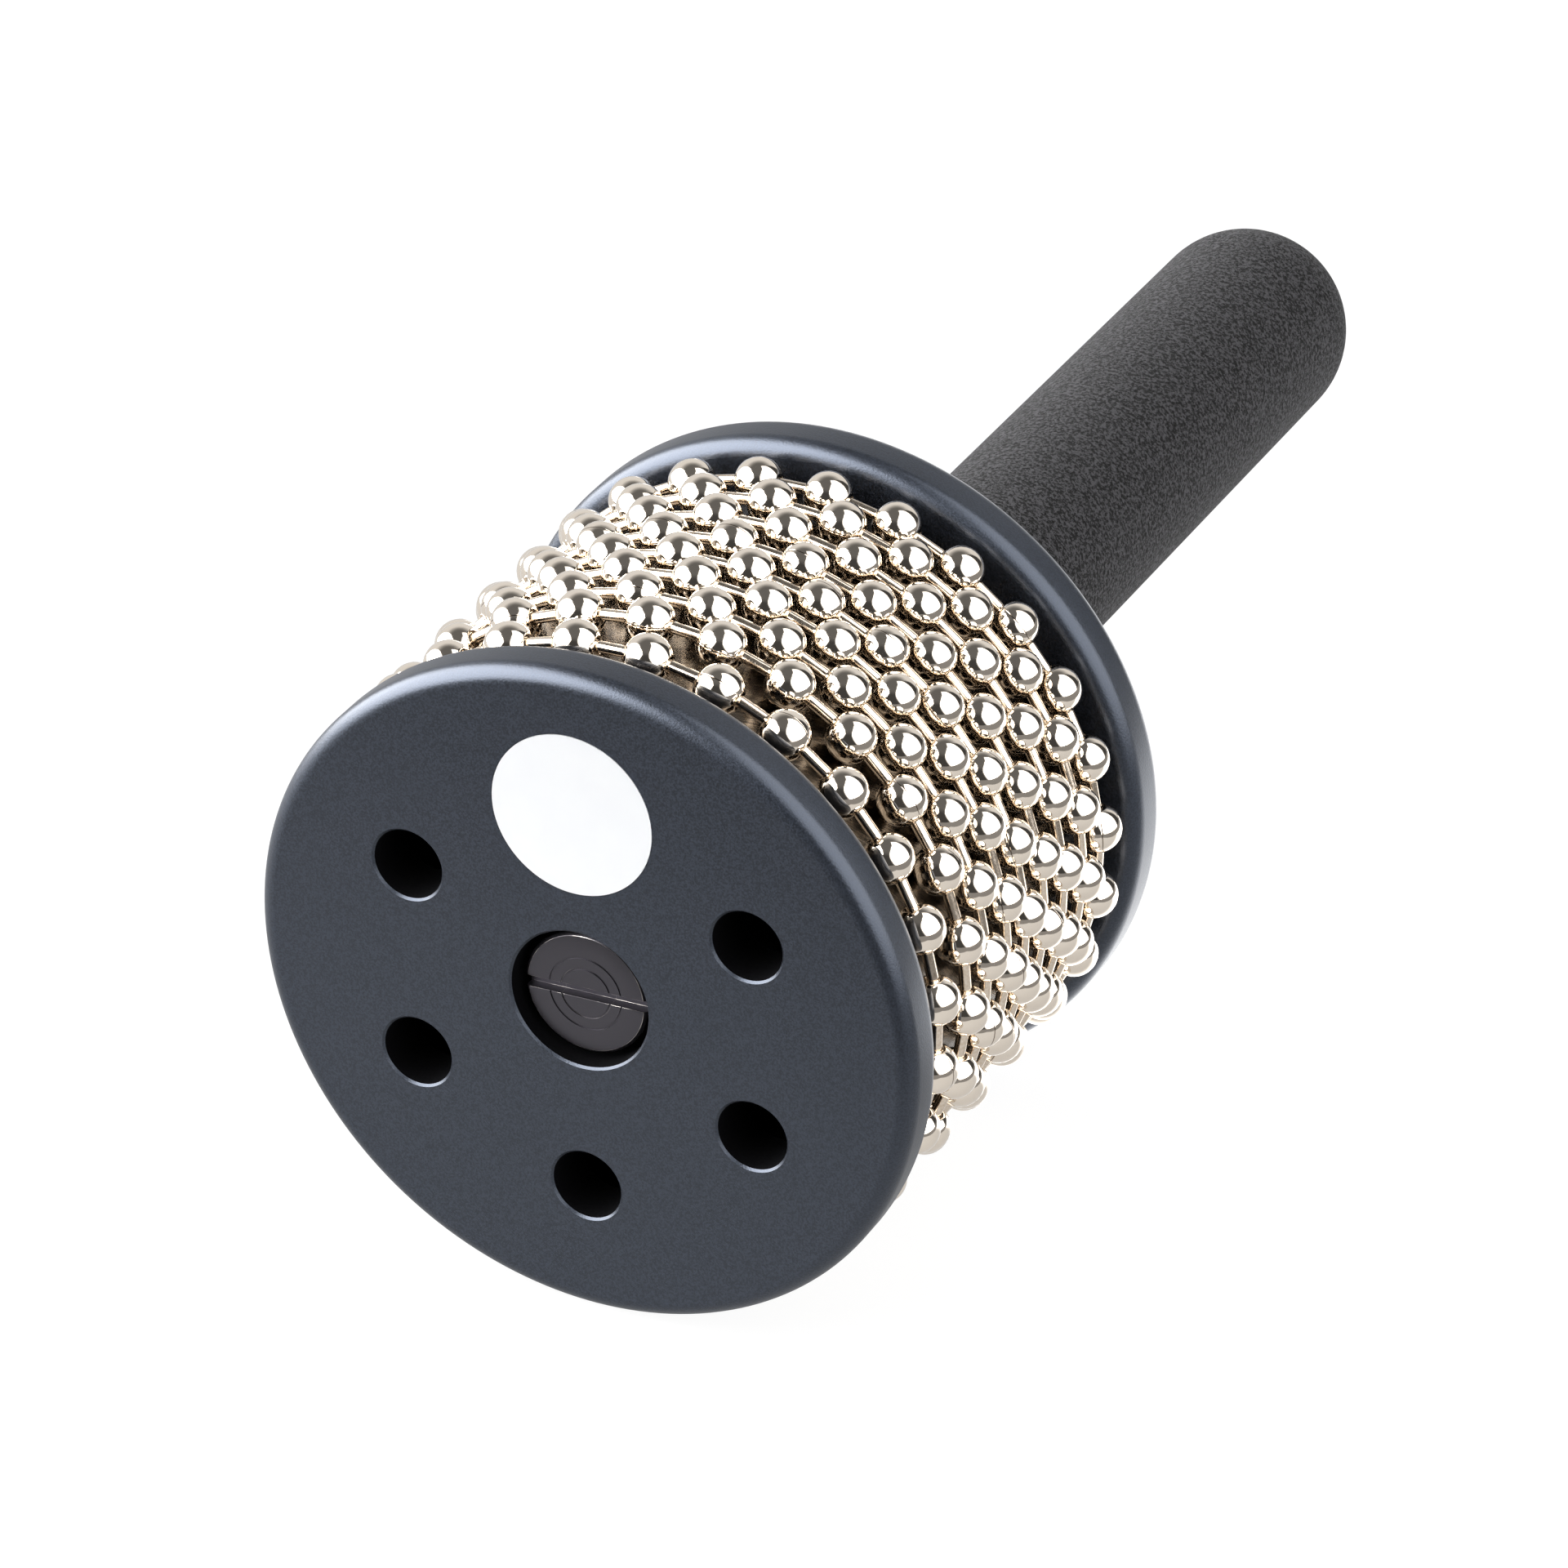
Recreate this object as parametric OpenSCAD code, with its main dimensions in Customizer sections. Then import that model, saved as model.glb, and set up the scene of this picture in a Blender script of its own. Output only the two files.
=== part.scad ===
// Cabasa, a hand percussion instrument. Loops of ball chain lie loosely round a
// drum clad in textured steel, between two end discs on a foam handle. The player
// turns the handle while the palm holds the chains, and the balls rub on the steel.
// It lies on the rims of its two discs: the drum's axis runs along Y, the front
// disc faces -Y, the handle points to +Y, and Z is up.

/* [End discs] */
// Diameter of both end discs
disc_d = 95.6; // [86:0.2:110]
// Thickness of both end discs
disc_t = 8; // [7:0.1:12]
// Rounding of both edges of the end discs
disc_edge_r = 2.4; // [1:0.1:3.2]
// How far the disc rims stand out past the balls
rim_proud = 0.1; // [0.05:0.05:3]
// Diameter of the holes in the front disc
face_hole_d = 10; // [6:0.1:13]
// Diameter of the circle that the holes lie on
face_hole_circle_d = 56.8; // [50:0.1:60]
// Places on the hole circle, of which the label takes one
face_hole_places = 6; // [4:1:8]
// Turn of the hole circle and the label, in degrees from the label straight up
face_turn = -1.3; // [-30:0.1:30]
// Chamfer at the mouths of the holes and of the bolt recess
mouth_chamfer = 0.3; // [0.1:0.05:0.6]

/* [Label] */
// Diameter of the blank round label
label_d = 23; // [14:0.1:24]
// Distance of the label's centre from the disc's centre
label_at_r = 27.5; // [26:0.1:30]
// Thickness of the label, which lies flush in a shallow seat
label_t = 0.2; // [0.1:0.05:0.5]

/* [Ball chain] */
// Diameter of the hollow balls
ball_d = 6.8; // [5:0.05:7]
// Wall of the hollow balls
ball_wall = 0.4; // [0.3:0.05:0.6]
// Balls in each closed loop
balls_per_loop = 27; // [22:1:30]
// Diameter of the link rods between the balls
link_rod_d = 1.6; // [1:0.05:1.8]
// Thickness of the head at each end of a link
link_head_t = 0.9; // [0.5:0.05:1.2]
// How far a link head reaches past the rim of the ball's hole
link_head_catch = 0.25; // [0.15:0.05:0.4]
// Length of the drum left over when all the loops lie side by side
chain_play = 0; // [0:0.05:12]

/* [Drum] */
// Thickness of the textured steel sheet
sleeve_t = 0.5; // [0.3:0.05:0.8]
// Gap between the two edges of the sheet where it meets itself
sleeve_seam_gap = 0.6; // [0.2:0.1:1.5]
// Wall of the moulded drum under the sheet
core_wall = 2.55; // [2:0.05:4.5]

/* [Handle] */
// Diameter of the foam grip
grip_d = 31; // [27:0.1:38]
// Length of the foam grip, from the back disc to the top of its dome
grip_len = 153.5; // [110:0.5:180]
// Foam left over the end of the wooden handle
grip_end_wall = 8; // [5:0.5:12]
// Rounding of the grip's edge against the back disc
grip_edge_r = 0.8; // [0.3:0.1:2]
// Diameter of the wooden handle inside the foam
handle_d = 22; // [19:0.1:24]
// Rounding at the far end of the wooden handle
handle_end_r = 3; // [1:0.5:6]
// Depth of the seat in the back disc that takes the wooden handle
handle_seat = 3; // [1.5:0.1:4.5]

/* [Clamp bolt] */
// Diameter of the bolt's slotted head
bolt_head_d = 17.7; // [14:0.1:19]
// Thickness of the bolt's head
bolt_head_t = 3; // [2.2:0.1:4]
// How far the head's face lies below the disc's face
bolt_sunk = 1.9; // [0.5:0.1:2.4]
// Diameter of the bolt's shank
bolt_shank_d = 8; // [6:0.1:10]
// Diameter of the recess round the bolt's head
recess_d = 20; // [19.4:0.1:23]
// Width of the driving slot
slot_w = 1.6; // [1:0.1:2]
// Depth of the driving slot
slot_depth = 1.5; // [0.8:0.1:1.8]
// Slope of the driving slot from level, in degrees
slot_angle = 2; // [-90:1:90]
// Diameters of the two turned rings on the bolt's head
ring_outer_d = 10.5; // [9:0.1:12]
ring_inner_d = 7.2; // [5:0.1:8]
// Length of the brass insert in the wooden handle
insert_len = 20; // [12:0.5:30]
// Wall of the brass insert
insert_wall = 2; // [1.2:0.1:3]

/* [Hidden] */
$fn = 64;
// Gap left between fixed pieces that fit in one another
fit_gap = 0.1;
// Gap left between the balls and the drum that they turn on
run_gap = 0.3;
// Gap left inside the chain, between a link and a ball
link_play = 0.05;
// Overrun of every cut
over = 1;
// Width and depth of the turned rings on the bolt's head
ring_w = 0.3;
ring_depth = 0.15;
// Registers on the inner faces of the discs, which hold the drum in line
register_h = 4;
register_w = 2.5;
// Boss round the bolt's hole on the inner face of each disc
hub_h = 4;
hub_w = 2;
// Room round the bolt's shank in the discs and past its end in the handle
shank_room = 0.3;
bolt_past_insert = 4;
bolt_end_room = 4;
// Chamfers round the bolt's head and at the end of its shank
bolt_head_chamfer = 0.4;
bolt_end_chamfer = 0.8;

// Places of the nine loops, as shares of the drum's length from the front disc.
// The first stands apart, and the others have slid together and nest.
loop_place_shares = [0.1, 0.24, 0.34, 0.44, 0.53, 0.625, 0.725, 0.825, 0.915];
// Turn of each loop at rest, as shares of one ball pitch. Nested loops lie about
// half a pitch apart, so that each ball sits between two of the next loop.
loop_turn_shares = [0.31, 0.91, 0.45, 0.94, 0.43, 0.91, 0.37, 0.85, 0.39];
loops = len(loop_place_shares);

disc_r = disc_d / 2;
ball_r = ball_d / 2;
pitch_angle = 360 / balls_per_loop;
half_pitch = pitch_angle / 2;
// Radius of the circle through the ball centres
loop_r = disc_r - rim_proud - ball_r;
// Distance between the centres of two neighbouring balls
ball_pitch = 2 * loop_r * sin(half_pitch);
ball_cavity_r = ball_r - ball_wall;
// A link crosses the wall of a ball at half the pitch angle, in the middle of the hole,
// so it runs a little farther out than the straight line between the ball centres
ball_hole_r = link_rod_d / 2 / cos(half_pitch) + ball_wall * tan(half_pitch) + link_play;
link_offset = ball_cavity_r * sin(half_pitch);
link_at_r = loop_r * cos(half_pitch) + link_offset;
link_head_r = ball_hole_r + link_head_catch;
// The outer edge of a link's head stays inside the ball's cavity
link_head_at = sqrt(pow(ball_cavity_r - link_play, 2) - pow(link_head_r + link_offset, 2));
link_len = ball_pitch - 2 * (link_head_at - link_head_t);

sleeve_r = loop_r - ball_r - run_gap;
core_r = sleeve_r - sleeve_t - fit_gap;
core_bore_r = core_r - core_wall;
register_r = core_bore_r - fit_gap;
drum_len = loops * ball_d + chain_play;

back_disc_at = disc_t + drum_len;
back_face_at = back_disc_at + disc_t;
overall_len = back_face_at + grip_len;
front_y = -overall_len / 2;

recess_depth = bolt_sunk + bolt_head_t;
shank_hole_r = bolt_shank_d / 2 + shank_room;
hub_r = recess_d / 2 + hub_w;
handle_at = back_face_at - handle_seat;
handle_len = overall_len - grip_end_wall - handle_at;
bolt_end_at = handle_at + insert_len + bolt_past_insert;
insert_r = bolt_shank_d / 2 + fit_gap + insert_wall;
handle_bore_len = bolt_end_at + bolt_end_room - handle_at;

satin_black = "#34373b";
foam_grey = "#2b2b2d";
nickel = "#c9bfb0";
sheet_steel = "#8d8a84";
beech = "#c7a06c";
brass_yellow = "#b5914a";
dark_bolt = "#2a2422";
label_white = "#f1f1ef";

// Turns a shape drawn about Z, with its front at zero, onto the drum's axis
module on_axis(distance) {
    translate([0, front_y + distance, disc_r]) rotate([-90, 0, 0]) children();
}

// Puts a shape at a radius and an angle, counted from the top towards +X
module at_angle(angle, radius) {
    rotate([0, 0, angle]) translate([0, -radius, 0]) children();
}

// Half section of a disc with both outer edges rounded
module rounded_disc_section(radius, thickness, edge_r) {
    square([radius - edge_r, thickness]);
    translate([0, edge_r]) square([radius, thickness - 2 * edge_r]);
    translate([radius - edge_r, edge_r]) circle(edge_r);
    translate([radius - edge_r, thickness - edge_r]) circle(edge_r);
}

// Ring that stands on a face, for registers
module ring(outer_r, inner_r, height) {
    difference() {
        cylinder(h = height, r = outer_r);
        translate([0, 0, -over]) cylinder(h = height + 2 * over, r = inner_r);
    }
}

// Cutter for a round hole down from the face at zero, with a chamfered mouth
module mouthed_hole(radius, depth) {
    translate([0, 0, -over]) cylinder(h = depth + over, r = radius);
    translate([0, 0, -over])
        cylinder(h = over + mouth_chamfer, r1 = radius + mouth_chamfer + over, r2 = radius);
}

// Disc with its register and hub on the inner face, which is the far one
module disc_blank() {
    rotate_extrude() rounded_disc_section(disc_r, disc_t, disc_edge_r);
    cylinder(h = disc_t + hub_h, r = hub_r);
    translate([0, 0, disc_t]) ring(register_r, register_r - register_w, register_h);
}

module front_disc() {
    color(satin_black) on_axis(0) difference() {
        disc_blank();
        mouthed_hole(recess_d / 2, recess_depth);
        cylinder(h = disc_t + hub_h + over, r = shank_hole_r);
        for (i = [1 : face_hole_places - 1])
            at_angle(face_turn + i * 360 / face_hole_places, face_hole_circle_d / 2)
                mouthed_hole(face_hole_d / 2, disc_t + over);
        at_angle(face_turn, label_at_r)
            translate([0, 0, -over]) cylinder(h = over + label_t, r = label_d / 2 + fit_gap);
    }
}

module blank_label() {
    color(label_white) on_axis(0) at_angle(face_turn, label_at_r)
        cylinder(h = label_t, r = label_d / 2);
}

// Long bolt that clamps the discs and the drum against the handle
module clamp_bolt() {
    color(dark_bolt) on_axis(bolt_sunk) difference() {
        union() {
            cylinder(h = bolt_head_chamfer, r1 = bolt_head_d / 2 - bolt_head_chamfer,
                     r2 = bolt_head_d / 2);
            translate([0, 0, bolt_head_chamfer])
                cylinder(h = bolt_head_t - bolt_head_chamfer, r = bolt_head_d / 2);
            cylinder(h = bolt_end_at - bolt_sunk - bolt_end_chamfer, r = bolt_shank_d / 2);
            translate([0, 0, bolt_end_at - bolt_sunk - bolt_end_chamfer])
                cylinder(h = bolt_end_chamfer, r1 = bolt_shank_d / 2,
                         r2 = bolt_shank_d / 2 - bolt_end_chamfer);
        }
        rotate([0, 0, -slot_angle])
            translate([-bolt_head_d / 2 - over, -slot_w / 2, -over])
                cube([bolt_head_d + 2 * over, slot_w, slot_depth + over]);
        for (d = [ring_outer_d, ring_inner_d])
            translate([0, 0, -over]) ring(d / 2 + ring_w / 2, d / 2 - ring_w / 2, over + ring_depth);
    }
}

module drum_core() {
    color(satin_black) on_axis(disc_t) ring(core_r, core_bore_r, drum_len);
}

// Sheet bent round the drum, with its two edges meeting at the bottom
module steel_sleeve() {
    color(sheet_steel) on_axis(disc_t) difference() {
        ring(sleeve_r, core_r + fit_gap, drum_len);
        at_angle(180, sleeve_r)
            translate([-sleeve_seam_gap / 2, -over, -over])
                cube([sleeve_seam_gap, 2 * over, drum_len + 2 * over]);
    }
}

// The back disc is the front one turned round, with a seat for the handle
module back_disc() {
    color(satin_black) on_axis(back_face_at) mirror([0, 0, 1]) difference() {
        disc_blank();
        mouthed_hole(handle_d / 2 + fit_gap, handle_seat);
        cylinder(h = disc_t + hub_h + over, r = shank_hole_r);
    }
}

module wooden_handle() {
    color(beech) on_axis(handle_at) difference() {
        rotate_extrude() {
            square([handle_d / 2, handle_len - handle_end_r]);
            square([handle_d / 2 - handle_end_r, handle_len]);
            translate([handle_d / 2 - handle_end_r, handle_len - handle_end_r]) circle(handle_end_r);
        }
        translate([0, 0, -over]) cylinder(h = insert_len + over, r = insert_r + fit_gap);
        translate([0, 0, -over]) cylinder(h = handle_bore_len + over, r = shank_hole_r);
    }
}

module threaded_insert() {
    color(brass_yellow) on_axis(handle_at) ring(insert_r, bolt_shank_d / 2 + fit_gap, insert_len);
}

// Foam tube with a full round dome, closed over the end of the handle
module foam_grip() {
    grip_r = grip_d / 2;
    color(foam_grey) on_axis(back_face_at) difference() {
        rotate_extrude() {
            square([grip_r - grip_edge_r, grip_len - grip_r]);
            translate([0, grip_edge_r]) square([grip_r, grip_len - grip_r - grip_edge_r]);
            translate([grip_r - grip_edge_r, grip_edge_r]) circle(grip_edge_r);
            translate([0, grip_len - grip_r]) intersection() {
                circle(grip_r);
                square([grip_r, grip_r]);
            }
        }
        translate([0, 0, -over])
            cylinder(h = over + grip_len - grip_end_wall + fit_gap, r = handle_d / 2 + fit_gap);
    }
}

// Hollow ball with two opposite holes, in which the links can tilt
module ball() {
    rotate([0, 90, 0]) rotate_extrude() difference() {
        intersection() {
            circle(ball_r);
            translate([ball_hole_r, -ball_r]) square([ball_r, ball_d]);
        }
        circle(ball_cavity_r);
    }
}

// Link rod with a head at each end, caught inside two neighbouring balls
module link() {
    rotate([0, 90, 0]) {
        cylinder(h = link_len, r = link_rod_d / 2, center = true);
        for (side = [0, 1]) mirror([0, 0, side])
            translate([0, 0, link_len / 2 - link_head_t]) cylinder(h = link_head_t, r = link_head_r);
    }
}

function loop_at(row) = disc_t + loop_place_shares[row - 1] * drum_len;
function loop_turn(row) = loop_turn_shares[row - 1] * pitch_angle;

// The balls of one closed loop
module bead_row(row) {
    color(nickel) on_axis(loop_at(row))
        for (i = [0 : balls_per_loop - 1]) at_angle(loop_turn(row) + i * pitch_angle, loop_r) ball();
}

// The links of one closed loop, each from a hole of one ball to that of the next
module link_row(row) {
    color(nickel) on_axis(loop_at(row))
        for (i = [0 : balls_per_loop - 1])
            at_angle(loop_turn(row) + (i + 1 / 2) * pitch_angle, link_at_r) link();
}

front_disc();
blank_label();
clamp_bolt();
drum_core();
steel_sleeve();
back_disc();
wooden_handle();
threaded_insert();
foam_grip();
bead_row(1);  // bead_row_1
bead_row(2);  // bead_row_2
bead_row(3);  // bead_row_3
bead_row(4);  // bead_row_4
bead_row(5);  // bead_row_5
bead_row(6);  // bead_row_6
bead_row(7);  // bead_row_7
bead_row(8);  // bead_row_8
bead_row(9);  // bead_row_9
link_row(1);  // link_row_1
link_row(2);  // link_row_2
link_row(3);  // link_row_3
link_row(4);  // link_row_4
link_row(5);  // link_row_5
link_row(6);  // link_row_6
link_row(7);  // link_row_7
link_row(8);  // link_row_8
link_row(9);  // link_row_9
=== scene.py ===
# Cabasa: the looks of the instrument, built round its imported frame.
# Sizes are in millimetres and angles in degrees, unless a comment says otherwise.
import math
import random

import bmesh
import bpy
from mathutils import Matrix, Vector


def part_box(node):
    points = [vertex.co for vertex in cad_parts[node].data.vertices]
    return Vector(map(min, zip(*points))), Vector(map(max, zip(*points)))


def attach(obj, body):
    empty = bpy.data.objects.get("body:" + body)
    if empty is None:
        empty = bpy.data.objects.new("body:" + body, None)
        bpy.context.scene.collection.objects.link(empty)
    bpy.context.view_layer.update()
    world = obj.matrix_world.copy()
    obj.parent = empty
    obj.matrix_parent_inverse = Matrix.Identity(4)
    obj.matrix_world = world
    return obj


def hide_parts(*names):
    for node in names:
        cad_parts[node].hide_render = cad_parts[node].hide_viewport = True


MM = 0.001
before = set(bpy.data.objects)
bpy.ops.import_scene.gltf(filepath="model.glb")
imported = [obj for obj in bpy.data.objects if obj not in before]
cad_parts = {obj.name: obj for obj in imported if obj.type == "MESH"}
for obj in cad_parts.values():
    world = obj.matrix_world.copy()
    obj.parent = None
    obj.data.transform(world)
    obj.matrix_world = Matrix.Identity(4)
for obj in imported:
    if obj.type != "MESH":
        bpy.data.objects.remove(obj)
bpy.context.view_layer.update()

# Sizes of the real pieces
DISC_D = 95.6
DISC_T = 8.0
DISC_EDGE_R = 2.4
FACE_HOLE_D = 10.0
FACE_HOLE_CIRCLE_D = 56.8
FACE_HOLE_PLACES = 6
FACE_TURN = -1.3
MOUTH_CHAMFER = 0.3
BOLT_EDGE_BREAK = 0.24
BOLT_SHARP = math.radians(40)
BOLT_GROOVE_RADII = (5.25, 3.6)
BOLT_GROOVE_REACH = 0.4
# The edges on the head's turned grooves are shorter than this, those along its slot longer
BOLT_RING_STEP = 1.0
LABEL_D = 23.0
LABEL_AT_R = 27.5
LABEL_T = 0.2
LABEL_SEAT_ROOM = 0.1
RECESS_D = 20.0
RECESS_DEPTH = 4.9
SHANK_HOLE_D = 8.6
HUB_D = 24.0
HUB_H = 4.0
REGISTER_D = 74.7
REGISTER_W = 2.5
REGISTER_H = 4.0
# Walls of the front disc that lie nearer to its axis than this are drawn off the mould's pins,
# and get the darker, duller ABS, a painted shade in the holes
PAINTED_SHADE_WITHIN_R = 42.0
BALL_D = 6.8
BALL_WALL = 0.4
BALL_HOLE_D = 1.8
BALLS_PER_LOOP = 27
LOOP_PITCH = 360 / BALLS_PER_LOOP
LOOPS = 9
LOOP_R = 44.3
LINK_ROD_D = 1.6
LINK_HEAD_D = 2.3
LINK_HEAD_T = 0.9
LINK_HEAD_AT = 2.54
LINK_AT_R = 44.35
SLEEVE_D = 81.2
SLEEVE_T = 0.5
SLEEVE_SEAM_GAP = 0.6
GRIP_D = 31.0
GRIP_EDGE_R = 0.8
HANDLE_D = 22.2
HANDLE_SEAT = 3.0
GRIP_END_WALL = 7.9

# Patterns of the finishes, by the size of what repeats and its depth
ABS_GRAIN = 0.25
ABS_GRAIN_DEPTH = 0.03
PIN_SCUFF = 0.4
PIN_SCUFF_DEPTH = 0.02
VINYL_RIPPLE = 5.0
VINYL_RIPPLE_DEPTH = 0.01
# A painted highlight: a thin light ring beside the inner groove of the head, its radius, width and
# breaks
BOLT_GROOVE_GLINT_R = 3.7
BOLT_GROOVE_GLINT_W = 0.04
BOLT_GROOVE_GLINT_BREAKS = 2.0
BOLT_PATINA = 3.0
# Runs of rubbed wear and painted highlight along the bolt's broken edges
BOLT_EDGE_RUBS_AND_GLINTS = 3.0
SCRATCH_SLANT = 52.0
SCRATCH_SPACING = 0.2
SCRATCH_DEPTH = 0.02
BALL_SEAM_SHARE_OF_TURN = 0.006
BALL_SEAM_DEPTH = 0.03
BALL_HANDLING = 1.5
ROD_MARKS = 0.4
ROD_MARK_DEPTH = 0.01
FOAM_CELL = 0.7
FOAM_CELL_DEPTH = 0.2
FOAM_GRAIN = 0.55
FOAM_GRAIN_DEPTH = 0.25
DRUM_GRAIN = 0.6
DRUM_GRAIN_DEPTH = 0.02
BEECH_FLECK = 0.9
BEECH_FLECK_DEPTH = 0.05
BRASS_LAY = 0.2
# How places are scaled for a pattern that runs long in Y
ALONG_GRAIN = (1.0, 0.06, 1.0)

# Lays a shape drawn about Z along its loop of chain
ALONG_LOOP = Matrix.Rotation(math.radians(90), 4, "Y")

# Steps round a full turn, by how large the piece shows
FINE_STEPS = 192
HOLE_STEPS = 64
GRIP_STEPS = 96
BALL_STEPS = 32
ROD_STEPS = 20
SHEET_STEPS = 240
# Steps along a section
RIM_ARC_STEPS = 12
BALL_ARC_STEPS = 14
GRIP_LENGTH_STEPS = 60
GRIP_EDGE_STEPS = 6
DOME_ARC_STEPS = 24
# Points nearer to each other than this are one, edges this near to a height lie at it, and
# a face's middle this far in is inside
SAME_PLACE = 1e-4
SAME_HEIGHT = 1e-3
CLEARLY_INSIDE = 0.01
# Edges that bend more than a crease stay sharp, and so do those round a flat face, whose
# normal has at least this much of Z
CREASE = 35
BOLT_CREASE = 20
FLAT_NORMAL = 0.99999
# Facets of the bolt that lie this nearly in one plane are one face
BOLT_ONE_PLANE = math.radians(0.5)

# The photograph's view, solved from the discs, the holes and the grip
VIEW_AZIMUTH = 26.675
VIEW_ELEVATION = 30.312
VIEW_DISTANCE = 905.0
VIEW_AIM = (17.36, -91.0, 71.95)
VIEW_LENS = 161.29
VIEW_SENSOR = 36.0
VIEW_NEAREST = 10.0

axis_z = DISC_D / 2
front_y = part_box("front_disc")[0].y / MM
back_face_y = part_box("foam_grip")[0].y / MM
grip_len = (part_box("foam_grip")[1].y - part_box("foam_grip")[0].y) / MM
drum_len = (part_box("drum_core")[1].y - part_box("drum_core")[0].y) / MM


def srgb(code):
    """A colour written as a web hex code, as the linear values that Blender mixes."""
    channels = [int(code[i : i + 2], 16) / 255 for i in (1, 3, 5)]
    linear = [c / 12.92 if c <= 0.04045 else ((c + 0.055) / 1.055) ** 2.4 for c in channels]
    return (*linear, 1.0)


def add_node(tree, kind, settings=None, links=None):
    """Adds a node. Settings go to its properties, its colour stops or its inputs. Links join
    sockets, or the first outputs of nodes, to its inputs."""
    node = tree.nodes.new(kind)
    for key, value in (settings or {}).items():
        if key == "stops":
            for stop, (position, colour) in zip(node.color_ramp.elements, value):
                stop.position = position
                stop.color = srgb(colour)
        elif isinstance(key, str) and key in node.bl_rna.properties:
            setattr(node, key, value)
        else:
            node.inputs[key].default_value = value
    for key, source in (links or {}).items():
        socket = source.outputs[0] if isinstance(source, bpy.types.Node) else source
        tree.links.new(socket, node.inputs[key])
    return node


def start_material(name):
    material = bpy.data.materials.new(name)
    material.use_nodes = True
    material.node_tree.nodes.clear()
    return material, material.node_tree


def end_material(tree, settings, links):
    shader = add_node(tree, "ShaderNodeBsdfPrincipled", settings, links)
    add_node(tree, "ShaderNodeOutputMaterial", {}, {"Surface": shader})


# Satin black ABS, injection moulded in a finely sparked mould: nearly black in itself, so
# what shows is its cold, soft shine. The spark grain, too fine to show at its own size, is
# drawn 0.25 mm coarse and makes that shine speckle.
def satin_abs():
    material, tree = start_material("satin_black_moulded_abs")
    place = add_node(tree, "ShaderNodeTexCoord").outputs["Object"]
    grain = add_node(tree, "ShaderNodeTexNoise", {"Scale": 1 / (ABS_GRAIN * MM)}, {"Vector": place})
    stops = [(0.4, "#07090d"), (0.6, "#1c2028")]
    colour = add_node(tree, "ShaderNodeValToRGB", {"stops": stops}, {"Fac": grain})
    rough = add_node(tree, "ShaderNodeMapRange", {"To Min": 0.3, "To Max": 0.42}, {"Value": grain})
    relief = {"Distance": ABS_GRAIN_DEPTH * MM, "Strength": 0.8}
    normal = add_node(tree, "ShaderNodeBump", relief, {"Height": grain})
    links = {"Base Color": colour, "Roughness": rough, "Normal": normal}
    end_material(tree, {"IOR": 1.64, "Specular Tint": srgb("#dde8fd")}, links)
    return material


# The same ABS on the walls of holes and recess, which slide along the mould's pins: scuffed
# dead matt by them, and coloured darker than the face, a painted shade that makes the holes
# look black.
def hole_wall_abs_with_painted_shade():
    material, tree = start_material("dull_abs_with_painted_hole_shade")
    place = add_node(tree, "ShaderNodeTexCoord").outputs["Object"]
    scuff = add_node(tree, "ShaderNodeTexNoise", {"Scale": 1 / (PIN_SCUFF * MM)}, {"Vector": place})
    # Painted shade: the walls are a darker black than the face's ABS
    stops = [(0.3, "#020203"), (0.7, "#050507")]
    colour = add_node(tree, "ShaderNodeValToRGB", {"stops": stops}, {"Fac": scuff})
    relief = {"Distance": PIN_SCUFF_DEPTH * MM, "Strength": 0.5}
    normal = add_node(tree, "ShaderNodeBump", relief, {"Height": scuff})
    settings = {"Roughness": 0.8, "Specular IOR Level": 0.05}
    end_material(tree, settings, {"Base Color": colour, "Normal": normal})
    return material


# White vinyl film with an adhesive back: smooth, slightly glossy, nearly pure white.
def vinyl_film():
    material, tree = start_material("white_vinyl_film")
    place = add_node(tree, "ShaderNodeTexCoord").outputs["Object"]
    ripple = add_node(tree, "ShaderNodeTexNoise", {"Scale": 1 / (VINYL_RIPPLE * MM)}, {"Vector": place})
    stops = [(0.3, "#edeff2"), (0.7, "#eff1f3")]
    colour = add_node(tree, "ShaderNodeValToRGB", {"stops": stops}, {"Fac": ripple})
    relief = {"Distance": VINYL_RIPPLE_DEPTH * MM, "Strength": 0.4}
    normal = add_node(tree, "ShaderNodeBump", relief, {"Height": ripple})
    end_material(tree, {"Roughness": 0.3}, {"Base Color": colour, "Normal": normal})
    return material
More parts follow.
